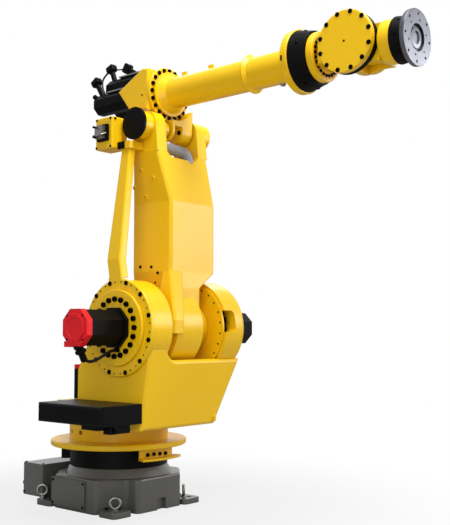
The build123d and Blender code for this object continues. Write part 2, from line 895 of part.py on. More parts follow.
def tool_flange():
    end = wrist.X + wrist_reach
    disc = round_x(tool_flange_radius, end - tool_flange_thickness, end, wrist)
    disc = fillet(disc.edges(), tool_flange_edge_radius)
    disc -= round_x(tool_bore_radius, end - tool_flange_thickness - overrun, end + overrun, wrist)
    for index in range(tool_bolt_count):
        angle = math.radians(360 * index / tool_bolt_count)
        centre = wrist + Vector(0, math.cos(angle), math.sin(angle)) * tool_bolt_circle_radius
        disc -= round_x(tool_bolt_radius, end - tool_flange_thickness - overrun, end + overrun, centre)
    for index in range(tool_dowel_count):
        angle = math.radians(tool_dowel_turn + 360 * index / tool_dowel_count)
        centre = wrist + Vector(0, math.cos(angle), math.sin(angle)) * tool_dowel_circle_radius
        disc -= round_x(tool_dowel_radius, end - tool_flange_thickness - overrun, end + overrun, centre)
    return drooped(disc)


parts = {
    "base_casting": base_casting(),
    "base_side_cover": base_side_cover(),
    "base_connector_box": base_connector_box(),
    "lifting_eyes": lifting_eyes(),
    "slew_bearing": slew_bearing(),
    "turntable": turntable(),
    "slew_stop": slew_stop(),
    "lead_guide": lead_guide(),
    "turret_casting": turret_casting(),
    "shoulder_drum": shoulder_drum(),
    "shoulder_cap": shoulder_cap(),
    "shoulder_motor": shoulder_motor(),
    "shoulder_motor_cap": shoulder_motor_cap(),
    "right_ring": right_ring(),
    "right_housing": right_housing(),
    "right_motor": right_motor(),
    "slew_motor": slew_motor(),
    "slew_motor_cap": slew_motor_cap(),
    "side_box": side_box(),
    "side_box_feet": side_box_feet(),
    "arm_casting": arm_casting(),
    "outboard_strut": outboard_strut(),
    "strut_collar": strut_collar(),
    "elbow_cover": elbow_cover(),
    "elbow_barrel": elbow_barrel(),
    "junction_box": junction_box(),
    "junction_socket": junction_socket(),
    "junction_bracket": junction_bracket(),
    "elbow_casing": elbow_casing(),
    "forearm_tube": forearm_tube(),
    "forearm_end_disc": forearm_end_disc(),
    "roll_ring": roll_ring(),
    "left_drive_motor": drive_motor(-drive_side, drive_low_rise, drive_low_back),
    "right_drive_motor": drive_motor(drive_side, drive_low_rise, drive_low_back),
    "upper_drive_motor": drive_motor(0, drive_high_rise, drive_high_back),
    "drive_plates": drive_plates(),
    "drive_connectors": drive_connectors(),
    "roll_hub": roll_hub(),
    "left_wrist_cheek": wrist_cheek(cheek_radius, -cheek_face, -cheek_back),
    "right_wrist_cheek": wrist_cheek(bearing_side_share * cheek_radius, cheek_back, cheek_face),
    "left_wrist_seal": wrist_seal(seal_radius, -cover_back, -cheek_face),
    "right_wrist_seal": wrist_seal(bearing_side_share * seal_radius, cheek_face, cover_back),
    "left_wrist_cover": wrist_cover(cover_radius, -cover_face, -cover_back, 0),
    "right_wrist_cover": wrist_cover(bearing_side_share * cover_radius, cover_back, cover_face, -1),
    "pitch_drum": pitch_drum(),
    "tool_ring": tool_ring(),
    "tool_flange": tool_flange(),
}

os.makedirs("parts", exist_ok=True)
for name, piece in parts.items():
    export_step(piece, f"parts/{name}.step")
print(len(parts), "parts written")
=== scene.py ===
import json
import math

import bmesh
import bpy
from mathutils import Matrix, Vector


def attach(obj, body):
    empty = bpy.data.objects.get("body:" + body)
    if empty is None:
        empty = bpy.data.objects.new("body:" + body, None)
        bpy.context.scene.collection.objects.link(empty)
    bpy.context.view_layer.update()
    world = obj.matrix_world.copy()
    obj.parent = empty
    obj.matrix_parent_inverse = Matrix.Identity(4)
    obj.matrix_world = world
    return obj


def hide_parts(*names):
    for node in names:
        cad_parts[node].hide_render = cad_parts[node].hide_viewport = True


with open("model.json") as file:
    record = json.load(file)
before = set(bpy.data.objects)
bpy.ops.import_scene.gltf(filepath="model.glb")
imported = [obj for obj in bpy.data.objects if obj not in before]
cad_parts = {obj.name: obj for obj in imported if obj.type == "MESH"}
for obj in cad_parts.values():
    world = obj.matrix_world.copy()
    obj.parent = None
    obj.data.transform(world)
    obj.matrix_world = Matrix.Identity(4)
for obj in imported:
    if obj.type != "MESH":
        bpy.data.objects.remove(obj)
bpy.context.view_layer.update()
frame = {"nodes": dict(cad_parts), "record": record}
nodes = frame["nodes"]
scene = bpy.context.scene
print("frame loaded:", len(nodes), "pieces")


def linear(hexColour):
    # sRGB hex to the linear values that the shaders want
    values = [int(hexColour[i:i + 2], 16) / 255 for i in (1, 3, 5)]
    return [v / 12.92 if v <= 0.04045 else ((v + 0.055) / 1.055) ** 2.4 for v in values] + [1.0]


def addNode(tree, kind, inputs=None, **settings):
    # one node with its settings; an input that is a socket gets linked
    node = tree.nodes.new(kind)
    for key, value in settings.items():
        setattr(node, key, value)
    for key, value in (inputs or {}).items():
        if isinstance(value, bpy.types.NodeSocket):
            tree.links.new(value, node.inputs[key])
        else:
            node.inputs[key].default_value = value
    return node


def blankMaterial(name):
    material = bpy.data.materials.new(name)
    material.use_nodes = True
    material.node_tree.nodes.clear()
    return material, material.node_tree


def perMetre(millimetres):
    # texture scale for a pattern of this real size
    return 1000 / millimetres


def painted(name, spec):
    # enamel, plastic or rubber: soft gloss, faint orange peel over a wavy skin, rounded edges, painted shade
    # with some dirt darkening the corners
    material, tree = blankMaterial(name)
    place = addNode(tree, "ShaderNodeTexCoord").outputs["Object"]
    drift = addNode(tree, "ShaderNodeTexNoise", {"Vector": place, "Scale": perMetre(spec["drift"]),
                                                 "Detail": 4.0})
    tone = addNode(tree, "ShaderNodeMix", {6: linear(spec["colour"]), 7: linear(spec["worn"]),
                                           "Factor": drift.outputs["Fac"]}, data_type="RGBA")
    # painted shade: occlusion darkens corners, creases and gaps toward the darker colour, which also stands
    # for some dirt there
    corners = addNode(tree, "ShaderNodeAmbientOcclusion", {"Distance": spec["shadeAndGrimeReach"] / 1000}, samples=6)
    shadeAndGrime = addNode(tree, "ShaderNodeMapRange", {"Value": corners.outputs["AO"], "From Min": 0.15,
                                                 "From Max": 0.6, "To Min": spec["shadeAndGrime"], "To Max": 0.0})
    shadedAndDirty = addNode(tree, "ShaderNodeMix", {"Factor": shadeAndGrime.outputs["Result"], 6: tone.outputs[2],
                                            7: linear(spec["shadeAndDirt"])}, data_type="RGBA")
    # orange peel is 2 to 3 mm across, drawn at 9 mm so that it shows
    peel = addNode(tree, "ShaderNodeTexNoise", {"Vector": place, "Scale": perMetre(9), "Detail": 2.0})
    waves = addNode(tree, "ShaderNodeTexNoise", {"Vector": place, "Scale": perMetre(spec["skin"]),
                                                 "Detail": 2.0})
    gloss = addNode(tree, "ShaderNodeMapRange", {"Value": waves.outputs["Fac"],
                                                 "To Min": spec["roughness"] - 0.07,
                                                 "To Max": spec["roughness"] + 0.09})
    rounded = addNode(tree, "ShaderNodeBevel", {"Radius": spec["edge"] / 1000}, samples=4)
    wavy = addNode(tree, "ShaderNodeBump", {"Strength": 0.12, "Distance": 0.002,
                                            "Height": waves.outputs["Fac"],
                                            "Normal": rounded.outputs["Normal"]})
    bump = addNode(tree, "ShaderNodeBump", {"Strength": 0.05, "Distance": 0.001,
                                            "Height": peel.outputs["Fac"], "Normal": wavy.outputs["Normal"]})
    shader = addNode(tree, "ShaderNodeBsdfPrincipled", {
        "Base Color": shadedAndDirty.outputs[2], "Roughness": gloss.outputs["Result"], "IOR": spec["ior"],
        "Specular IOR Level": spec["shine"], "Coat Weight": spec["coat"], "Coat Roughness": 0.14,
        "Normal": bump.outputs["Normal"]})
    addNode(tree, "ShaderNodeOutputMaterial", {"Surface": shader.outputs["BSDF"]})
    return material


def bareMetal(name, spec):
    # bare metal: tool marks streak the shine, handling leaves it patchy
    material, tree = blankMaterial(name)
    place = addNode(tree, "ShaderNodeTexCoord").outputs["Object"]
    patches = addNode(tree, "ShaderNodeTexNoise", {"Vector": place, "Scale": perMetre(spec["patch"]),
                                                   "Detail": 3.0})
    tone = addNode(tree, "ShaderNodeMix", {6: linear(spec["colour"]), 7: linear(spec["dull"]),
                                           "Factor": patches.outputs["Fac"]}, data_type="RGBA")
    # tool marks are about 0.3 mm apart, drawn at 3 mm so that they show
    marks = addNode(tree, "ShaderNodeTexNoise", {"Vector": place, "Scale": perMetre(3), "Detail": 2.0})
    gloss = addNode(tree, "ShaderNodeMapRange", {"Value": marks.outputs["Fac"],
                                                 "To Min": spec["roughness"] - 0.08,
                                                 "To Max": spec["roughness"] + 0.10})
    rounded = addNode(tree, "ShaderNodeBevel", {"Radius": spec["edge"] / 1000}, samples=4)
    bump = addNode(tree, "ShaderNodeBump", {"Strength": 0.06, "Distance": 0.0005,
                                            "Height": marks.outputs["Fac"],
                                            "Normal": rounded.outputs["Normal"]})
    shader = addNode(tree, "ShaderNodeBsdfPrincipled", {
        "Base Color": tone.outputs[2], "Metallic": 1.0, "Roughness": gloss.outputs["Result"],
        "Normal": bump.outputs["Normal"]})
    addNode(tree, "ShaderNodeOutputMaterial", {"Surface": shader.outputs["BSDF"]})
    return material


# each finish's darker colour and its weight give the painted shade in its corners, with some dirt
# enamel over cast iron: warm yellow with a soft shine, a little deeper where it is thin
yellowEnamel = painted("yellowEnamelOnCastIron", {
    "colour": "#f9ca0c", "worn": "#f1bd08", "shadeAndDirt": "#7d4d0c", "shadeAndGrime": 0.55, "shadeAndGrimeReach": 26, "drift": 420,
    "skin": 46, "roughness": 0.34, "ior": 1.5, "shine": 0.34, "coat": 0.1, "edge": 3.0})
# thick grey enamel over rough cast iron: half dull, with a grainy skin and pale lights on its slopes
greyEnamel = painted("greyEnamelOnCastIron", {
    "colour": "#62625f", "worn": "#545452", "shadeAndDirt": "#26231f", "shadeAndGrime": 0.6, "shadeAndGrimeReach": 24, "drift": 150,
    "skin": 24, "roughness": 0.38, "ior": 1.5, "shine": 0.5, "coat": 0.3, "edge": 3.0})
# stoved black enamel on sheet steel and motor bodies: near black with a satin sheen
blackEnamel = painted("blackEnamelOnSteel", {
    "colour": "#0a0a0b", "worn": "#060607", "shadeAndDirt": "#030303", "shadeAndGrime": 0.5, "shadeAndGrimeReach": 14, "drift": 120,
    "skin": 30, "roughness": 0.38, "ior": 1.5, "shine": 0.09, "coat": 0.0, "edge": 2.0})
# moulded black rubber: duller than the enamel, with soft grey lights
blackRubber = painted("mouldedBlackRubber", {
    "colour": "#080809", "worn": "#0c0c0d", "shadeAndDirt": "#040404", "shadeAndGrime": 0.4, "shadeAndGrimeReach": 10, "drift": 60,
    "skin": 18, "roughness": 0.5, "ior": 1.52, "shine": 0.07, "coat": 0.0, "edge": 2.0})
# moulded red nylon: bright and slightly waxy
redNylon = painted("mouldedRedNylon", {
    "colour": "#e81722", "worn": "#dc141f", "shadeAndDirt": "#5a0a10", "shadeAndGrime": 0.5, "shadeAndGrimeReach": 10, "drift": 80,
    "skin": 30, "roughness": 0.36, "ior": 1.53, "shine": 0.25, "coat": 0.0, "edge": 2.0})
# grey polyamide of a corrugated hose: pale, dull on the crests
greyPolyamide = painted("extrudedGreyPolyamide", {
    "colour": "#a9abb3", "worn": "#9496a0", "shadeAndDirt": "#3a3b40", "shadeAndGrime": 0.5, "shadeAndGrimeReach": 8, "drift": 60,
    "skin": 20, "roughness": 0.4, "ior": 1.53, "shine": 0.4, "coat": 0.0, "edge": 1.0})
# black sheathing of the leads: smooth, with thin lights along it
blackSheath = painted("extrudedBlackSheath", {
    "colour": "#101011", "worn": "#0a0a0b", "shadeAndDirt": "#040404", "shadeAndGrime": 0.4, "shadeAndGrimeReach": 6, "drift": 40,
    "skin": 20, "roughness": 0.45, "ior": 1.53, "shine": 0.2, "coat": 0.0, "edge": 0.8})
# ground steel of the tool flange: cool grey, brushed
groundSteel = bareMetal("groundSteel", {
    "colour": "#80818a", "dull": "#696a73", "patch": 60, "roughness": 0.36, "edge": 1.0})
# zinc plate on small fittings: pale and a little cloudy
zincSteel = bareMetal("zincPlatedSteel", {
    "colour": "#b4b4ae", "dull": "#8f8f8a", "patch": 14, "roughness": 0.4, "edge": 1.0})
# blackened steel of the screws: oily black
blackOxide = bareMetal("blackenedSteel", {
    "colour": "#1d1c1c", "dull": "#100f0f", "patch": 10, "roughness": 0.4, "edge": 0.5})

slotLook = {"yellow_paint": yellowEnamel, "dark_grey_paint": greyEnamel, "black_paint": blackEnamel,
            "red_plastic": redNylon, "zinc_steel": zincSteel, "ground_steel": groundSteel,
            "black_rubber": blackRubber}
rubberNodes = ("roll_ring", "tool_ring")  # moulded covers, duller than the motors
for row in frame["record"]["subparts"]:
    piece = nodes[row["node"]]
    piece.data.materials.clear()
    piece.data.materials.append(blackRubber if row["node"] in rubberNodes else slotLook[row["material_slot"]])
print("finishes on the castings")


# pieces are drawn in millimetres in the part's frame and scaled to metres when kept
def facing(place, normal, turn=0):
    # stands a piece on a surface: its own z runs along the normal
    tilt = Vector(normal).to_track_quat("Z", "Y").to_matrix().to_4x4()
    return Matrix.Translation(place) @ tilt @ Matrix.Rotation(math.radians(turn), 4, "Z")


def skin(bm, loops, ring=False):
    # closed loops with the same number of points, joined by faces and capped unless they form a ring
    rows = [[bm.verts.new(point) for point in loop] for loop in loops]
    pairs = list(zip(rows, rows[1:])) + ([(rows[-1], rows[0])] if ring else [])
    for low, high in pairs:
        for i in range(len(low)):
            j = (i + 1) % len(low)
            bm.faces.new((low[i], low[j], high[j], high[i]))
    if not ring:
        bm.faces.new(list(reversed(rows[0])))
        bm.faces.new(rows[-1])


def turned(bm, stand, profile, steps=24, ring=False):
    # lathe profile of (radius, height) rows; a third value makes that loop a polygon with so many sides
    loops = []
    for radius, height, *sides in profile:
        loop = []
        for i in range(steps):
            angle = 2 * math.pi * i / steps
            reach = radius
            if sides:
                part = math.pi / sides[0]
                reach = radius * math.cos(part) / math.cos(angle % (2 * part) - part)
            loop.append(stand @ Vector((reach * math.cos(angle), reach * math.sin(angle), height)))
        loops.append(loop)
    skin(bm, loops, ring)


def roundedPlate(bm, stand, width, length, thick, corner, edge):
    # flat plate with round corners and an eased top edge
    loops = []
    for inset, height in ((0, -1), (0, thick - edge), (edge * 0.3, thick - edge * 0.3), (edge, thick)):
        radius = max(corner - inset, 0.2)
        loop = []
        for side, (sx, sy) in enumerate(((1, 1), (-1, 1), (-1, -1), (1, -1))):
            for i in range(5):
                angle = math.pi / 2 * (side + i / 4)
                x = sx * (width / 2 - inset - radius) + radius * math.cos(angle)
                y = sy * (length / 2 - inset - radius) + radius * math.sin(angle)
                loop.append(stand @ Vector((x, y, height)))
        loops.append(loop)
    skin(bm, loops)


def swept(bm, route, radii, steps=16):
    # round section carried along a route, one radius per point
    loops = []
    across = (route[1] - route[0]).orthogonal().normalized()
    for i, point in enumerate(route):
        ahead = (route[min(i + 1, len(route) - 1)] - route[max(i - 1, 0)]).normalized()
        across = (across - ahead * across.dot(ahead)).normalized()
        other = ahead.cross(across)
        loops.append([point + (across * math.cos(2 * math.pi * k / steps)
                               + other * math.sin(2 * math.pi * k / steps)) * radii[i] for k in range(steps)])
    skin(bm, loops)


def curved(points, count):
    # smooth route through bends, as a chain of parabolas between the middles of the legs
    points = [Vector(p) for p in points]
    middles = [points[0]] + [(a + b) / 2 for a, b in zip(points[1:-2], points[2:-1])] + [points[-1]]
    route = []
    for start, bend, end in zip(middles, points[1:-1], middles[1:]):
        for i in range(count):
            t = i / count
            route.append(start * (1 - t) ** 2 + bend * 2 * t * (1 - t) + end * t * t)
    return route + [points[-1]]


def keep(name, bm, look, body, sharp=32):
    bmesh.ops.scale(bm, vec=(0.001, 0.001, 0.001), verts=bm.verts)
    mesh = bpy.data.meshes.new(name)
    bm.to_mesh(mesh)
    bm.free()
    mesh.materials.append(look)
    mesh.shade_smooth()
    mesh.set_sharp_from_angle(angle=math.radians(sharp))
    piece = bpy.data.objects.new(name, mesh)
    scene.collection.objects.link(piece)
    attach(piece, body)
    return piece


def around(centre, axis, radius, count, start, skip=()):
    # places round a circle: angles from +X for a circle facing -Y, from -Y for one facing +X
    sides = {"-Y": ((1, 0, 0), (0, 0, 1), (0, -1, 0)), "+X": ((0, -1, 0), (0, 0, 1), (1, 0, 0)),
             "+Y": ((1, 0, 0), (0, 0, 1), (0, 1, 0))}
    first, second, normal = (Vector(v) for v in sides[axis])
    for i in range(count):
        if i not in skip:
            angle = math.radians(start + 360 * i / count)
            yield Vector(centre) + (first * math.cos(angle) + second * math.sin(angle)) * radius, normal


def socketScrew(bm, place, normal, radius, height):
    edge = radius * 0.14
    turned(bm, facing(place, normal), [
        (radius, -1), (radius, height - edge), (radius - edge * 0.3, height - edge * 0.3),
        (radius - edge, height), (radius * 0.60, height, 6), (radius * 0.56, height * 0.4, 6)])


# socket-head screws in circles; centre is on the face that they stand on
screwRings = {
    "shoulderRingScrews": {"body": "lower_arm", "centre": (280, -267, 735), "axis": "-Y", "circle": 176.6,
                           "count": 12, "start": 15, "radius": 9.5, "height": 4},
    "shoulderRingPlugs": {"body": "lower_arm", "centre": (280, -267, 735), "axis": "-Y", "circle": 176.6,
                          "count": 12, "start": 24.5, "radius": 3.2, "height": 1},
    "shoulderRingPins": {"body": "lower_arm", "centre": (280, -267, 735), "axis": "-Y", "circle": 176.6,
                         "count": 12, "start": 5.5, "radius": 3.2, "height": 1},
    "shoulderCapScrews": {"body": "turret", "centre": (280, -280, 735), "axis": "-Y", "circle": 109.8,
                          "count": 20, "start": 0, "radius": 10.5, "height": 10},
    "rightRingScrews": {"body": "turret", "centre": (280, 141, 735), "axis": "-Y", "circle": 168,
                        "count": 24, "start": 7.5, "radius": 4, "height": 1.5},
    "forearmFlangeScrews": {"body": "forearm", "centre": (287, 0, 1700), "axis": "+X", "circle": 100.5,
                            "count": 20, "start": 0, "radius": 8.5, "height": 6},
    "hubScrews": {"body": "wrist_roll", "centre": (1072, 0, 1700), "axis": "+X", "circle": 70,
                  "count": 24, "start": 0, "radius": 6.4, "height": 4},
    "wristCoverScrews": {"body": "wrist_roll", "centre": (1214, -102, 1700), "axis": "-Y", "circle": 99.7,
                         "count": 12, "start": 15, "radius": 8.5, "height": 2.5},
    "farCoverScrews": {"body": "wrist_roll", "centre": (1214, 102, 1700), "axis": "+Y", "circle": 62,
                       "count": 8, "start": 22.5, "radius": 5, "height": 2.5},
}
for name, spec in screwRings.items():
    bm = bmesh.new()
    for place, normal in around(spec["centre"], spec["axis"], spec["circle"], spec["count"], spec["start"]):
        socketScrew(bm, place, normal, spec["radius"], spec["height"])
    keep(name, bm, blackOxide, spec["body"])
print("screw circles")

# loose screws and plugs: (place, normal, radius, height)
screwSets = {
    "baseCoverScrews": ("base", [
        ((-134, -241, 114), (0, -1, 0), 5.5, 3), ((54, -241, 114), (0, -1, 0), 5.5, 3),
        ((-134, -241, 22), (0, -1, 0), 5.5, 3), ((54, -241, 22), (0, -1, 0), 5.5, 3)]),
    "lugScrews": ("base", [
        ((157, -206, 22), (0, 0, 1), 7, 8), ((182, -160, 22), (0, 0, 1), 7, 8),
        ((157, 206, 22), (0, 0, 1), 7, 8), ((182, 160, 22), (0, 0, 1), 7, 8),
        ((-166, -222, 22), (0, 0, 1), 7, 8), ((-222, -166, 22), (0, 0, 1), 7, 8),
        ((-166, 222, 22), (0, 0, 1), 7, 8), ((-222, 166, 22), (0, 0, 1), 7, 8)]),
    "stopScrews": ("turret", [
        ((231, -56, 226), (0.97, -0.24, 0), 7.5, 7), ((236.5, -27, 227), (0.99, -0.11, 0), 7.5, 7),
        ((238, 5, 226), (1, 0.02, 0), 7.5, 7), ((235, 40, 224), (0.985, 0.17, 0), 7.5, 7)]),
    "armScrewsAndShadeSpot": ("lower_arm", [
        ((219.5, -91, 982), (0, -1, 0), 6, 4), ((283, -91, 979), (0, -1, 0), 6, 4),
        # the last, flat one is painted shade: a dark disc for the shade in the gap where the arm meets the
        # drum
        ((318, -90, 954), (0, -1, -0.2), 6, 4), ((296, -82.4, 916), (0, -1, -0.2), 5, 1)]),
    "casingScrews": ("forearm", [
        ((238, -108, 1687), (0, -1, 0), 4.5, 1), ((307, 40, 1544), (0, -1, 0), 10, 3)]),
    "junctionScrews": ("lower_arm", [
        ((114, -240, 1574), (0, -1, 0), 5, 3), ((197, -240, 1574), (0, -1, 0), 5, 3),
        ((114, -240, 1460), (0, -1, 0), 5, 3), ((197, -240, 1460), (0, -1, 0), 5, 3),
        ((205, -224, 1574), (1, 0, 0), 5, 3)]),
    # painted shade: a flat blackened disc standing for the dark dimple at the wrist axis
    "wristCentreDimpleShade": ("wrist_roll", [
        ((1214, -102, 1700), (0, -1, 0), 4, 1)]),
    "connectorBoxScrews": ("base", [
        ((-362, -206, 160), (0, 0, 1), 5, 3), ((-245, -206, 160), (0, 0, 1), 5, 3),
        ((-362, 74, 160), (0, 0, 1), 5, 3), ((-362, -216, 36), (0, -1, 0), 5, 3)]),
}
for name, (body, rows) in screwSets.items():
    bm = bmesh.new()
    for place, normal, radius, height in rows:
        socketScrew(bm, place, normal, radius, height)
    keep(name, bm, blackOxide, body)

# small screws sunk round the two moulded covers of the wrist
coverScrews = {"wristRingScrews": ("forearm", (1012, 0, 1700), 105.5, 8, 22.5, (0.23, 0.97)),
               "toolRingScrews": ("wrist_pitch", (1394, 0, 1690.6), 77, 8, 0, (0.10, 0.99))}
for name, (body, centre, reach, count, start, lean) in coverScrews.items():
    bm = bmesh.new()
    for place, normal in around(centre, "+X", 1, count, start):
        outward = (place - Vector(centre)).normalized()
        socketScrew(bm, Vector(centre) + outward * reach, outward * lean[1] + normal * lean[0], 6, 2.5)
    keep(name, bm, blackOxide, body)
print("loose screws")

# raised bosses on the lower arm's left face
armBosses = {"places": [(245, -117, 1374), (307, -109.5, 1335), (197, -104, 1307), (253.5, -96, 1265)],
             "normal": (0, -0.98, -0.19), "radius": 9, "height": 5, "hole": 4}
bm = bmesh.new()
for place in armBosses["places"]:
    turned(bm, facing(place, armBosses["normal"]), [
        (armBosses["radius"] + 2, -1.5), (armBosses["radius"], armBosses["height"] - 1),
        (armBosses["radius"] - 1, armBosses["height"]), (armBosses["hole"], armBosses["height"]),
        (armBosses["hole"] * 0.9, 1)])
keep("armBosses", bm, yellowEnamel, "lower_arm")

# raised lip round the wrist hub's screws
hubLip = {"centre": (1072, 0, 1700), "inner": 79, "outer": 84, "height": 2}
bm = bmesh.new()
turned(bm, facing(hubLip["centre"], (1, 0, 0)), [
    (hubLip["outer"], -1), (hubLip["outer"], hubLip["height"]), (hubLip["inner"], hubLip["height"]),
    (hubLip["inner"], -1)], 72, ring=True)
keep("hubLip", bm, yellowEnamel, "wrist_roll")

# black band of the wrist seal, showing behind the round cover except where the cheek runs back to the hub
sealBand = {"centre": (1214, 0, 1700), "inner": 103, "outer": 107, "front": -82.5, "back": -58, "reach": 128}
bm = bmesh.new()
loops = []
for i in range(65):
    angle = math.radians(sealBand["reach"] * (i / 32 - 1))
    outward = Vector((math.cos(angle), 0, math.sin(angle)))
    loops.append([Vector(sealBand["centre"]) + outward * reach + Vector((0, side, 0)) for reach, side in (
        (sealBand["inner"], sealBand["front"]), (sealBand["inner"], sealBand["back"]),
        (sealBand["outer"], sealBand["back"]), (sealBand["outer"], sealBand["front"]))])
skin(bm, loops)
keep("sealBand", bm, blackRubber, "wrist_roll")

# stepped spigot seen in the tool flange's bore
spigot = {"centre": (1423.5, 0, 1689), "radius": 45.5, "lip": 36, "rise": 7, "droop": 3}
droop = math.radians(spigot["droop"])
bm = bmesh.new()
turned(bm, facing(spigot["centre"], (math.cos(droop), 0, -math.sin(droop))), [
    (spigot["radius"], -6), (spigot["radius"], 0), (spigot["lip"], 0), (spigot["lip"] - 1, spigot["rise"]),
    (spigot["lip"] * 0.6, spigot["rise"] + 1), (spigot["lip"] * 0.56, spigot["rise"] - 4)], 48)
keep("flangeSpigot", bm, groundSteel, "tool")

# hexagon plug under the forearm tube
tubePlug = {"place": (873, 9, 1640), "radius": 13, "height": 9}
bm = bmesh.new()
turned(bm, facing(tubePlug["place"], (0, 0.1, -1)), [
    (tubePlug["radius"], -4), (tubePlug["radius"], 3), (tubePlug["radius"] * 0.8, 3, 6),
    (tubePlug["radius"] * 0.8, tubePlug["height"], 6)])
keep("tubePlug", bm, zincSteel, "forearm")

# blackened plate on the rim of the forearm's end disc: painted shade standing for a dark slot there
discSlotShade = {"place": (960, -117.2, 1690), "width": 7, "length": 20, "thick": 1.5}
bm = bmesh.new()
roundedPlate(bm, facing(discSlotShade["place"], (0, -1, 0)), discSlotShade["width"], discSlotShade["length"],
             discSlotShade["thick"], 3, 0.5)
keep("discSlotShade", bm, blackOxide, "forearm")

# tab at the foot of the turret's front wall
turretTab = {"place": (402.5, 150, 368), "normal": (0.97, 0, -0.22), "width": 12, "length": 22, "thick": 9}
bm = bmesh.new()
roundedPlate(bm, facing(turretTab["place"], turretTab["normal"]), turretTab["width"], turretTab["length"],
             turretTab["thick"], 2, 1)
keep("turretTab", bm, yellowEnamel, "turret")
print("small castings")

# end of the shoulder motor: a raised eight-sided boss, screws in its corners, and the lead's plug underneath
motorEnd = {"centre": (280, -478, 735), "boss": 56, "bossHeight": 5, "screwCircle": 63, "screw": 4,
            "plug": (286, -464, 668), "plugRadius": 20, "plugLength": 62}
bm = bmesh.new()
turned(bm, facing(motorEnd["centre"], (0, -1, 0), 22.5), [
    (motorEnd["boss"], -1, 8), (motorEnd["boss"], motorEnd["bossHeight"] - 1.5, 8),
    (motorEnd["boss"] - 2, motorEnd["bossHeight"], 8), (motorEnd["boss"] * 0.74, motorEnd["bossHeight"], 8),
    (motorEnd["boss"] * 0.72, motorEnd["bossHeight"] - 2.5, 8)])
keep("motorEndBoss", bm, redNylon, "turret")
bm = bmesh.new()
for place, normal in around(motorEnd["centre"], "-Y", motorEnd["screwCircle"], 4, 45):
    socketScrew(bm, place, normal, motorEnd["screw"], 2)
keep("motorEndScrews", bm, blackOxide, "turret")

bm = bmesh.new()
plugRadius, plugLength = motorEnd["plugRadius"], motorEnd["plugLength"]
turned(bm, facing(motorEnd["plug"], (0.12, 0.42, -1)), [
    (plugRadius, -4), (plugRadius, 8), (plugRadius - 4, 10), (plugRadius - 4, 15), (plugRadius + 1, 17),
    (plugRadius + 1, 28), (plugRadius - 5, 31)] + [
    (plugRadius - 6 - (2 if i % 2 else 0), 32 + 3 * i) for i in range(10)] + [(7, plugLength + 2)])
keep("motorLeadPlug", bm, blackRubber, "turret")


def lead(name, spec, body):
    # round lead on its own centreline, both ends let into the part
    curve = bpy.data.curves.new(name, "CURVE")
    curve.dimensions = "3D"
    curve.bevel_depth, curve.bevel_resolution, curve.use_fill_caps = spec["diameter"] / 2000, 4, True
    line = curve.splines.new("NURBS")
    line.points.add(len(spec["route"]) - 1)
    for point, place in zip(line.points, spec["route"]):
        point.co = [v / 1000 for v in place] + [1]
    line.order_u, line.use_endpoint_u, line.resolution_u = 3, True, 16
    curve.materials.append(blackSheath)
    piece = bpy.data.objects.new(name, curve)
    scene.collection.objects.link(piece)
    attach(piece, body)
    return piece


motorLead = {"diameter": 12, "route": [(292, -443, 622), (295, -430, 608), (302, -398, 612), (304, -352, 634),
                                       (300, -312, 650), (298, -278, 650)]}
lead("motorLead", motorLead, "turret")
motorGland = {"place": (298, -280, 650), "radius": 10, "nut": 12, "length": 18}
bm = bmesh.new()
turned(bm, facing(motorGland["place"], (0, -1, 0)), [
    (motorGland["radius"], -1), (motorGland["radius"], 5, 6), (motorGland["radius"], motorGland["nut"], 6),
    (motorGland["radius"] - 2, motorGland["nut"]), (motorGland["radius"] - 3, motorGland["length"])])
keep("motorLeadGland", bm, blackOxide, "turret")

# leads between the connectors behind the elbow
driveLead = {"diameter": 8, "route": [(-76, -6, 1870), (-94, -12, 1858), (-104, -26, 1826), (-88, -35, 1784),
                                      (-70, -36, 1760), (-64, -36, 1733)]}
lead("driveLead", driveLead, "forearm")
linkLead = {"diameter": 6, "route": [(-58, 2, 1878), (-40, 4, 1872), (-12, 6, 1869), (16, 9, 1868)]}
lead("linkLead", linkLead, "forearm")

# knob on the left drive motor
driveKnob = {"place": (-68, -84, 1728), "normal": (-0.8, 0, 0.6), "radius": 11, "length": 24}
bm = bmesh.new()
turned(bm, facing(driveKnob["place"], driveKnob["normal"]), [
    (driveKnob["radius"] - 2, -6), (driveKnob["radius"] - 2, 8), (driveKnob["radius"], 9),
    (driveKnob["radius"], driveKnob["length"] - 3), (driveKnob["radius"] - 3, driveKnob["length"])])
keep("driveKnob", bm, blackRubber, "forearm")
print("motor fittings and leads")

# corrugated hose seen inside the elbow fork
forkHose = {"route": [(338, 64, 1412), (336, 58, 1444), (322, 34, 1462), (302, -8, 1468), (288, -48, 1472),
                      (280, -82, 1474)], "radius": 24, "groove": 2}
route = curved(forkHose["route"], 16)
bm = bmesh.new()
swept(bm, route, [forkHose["radius"] - (forkHose["groove"] if i % 2 else 0) for i in range(len(route))], 24)
keep("forkHose", bm, greyPolyamide, "lower_arm", sharp=60)

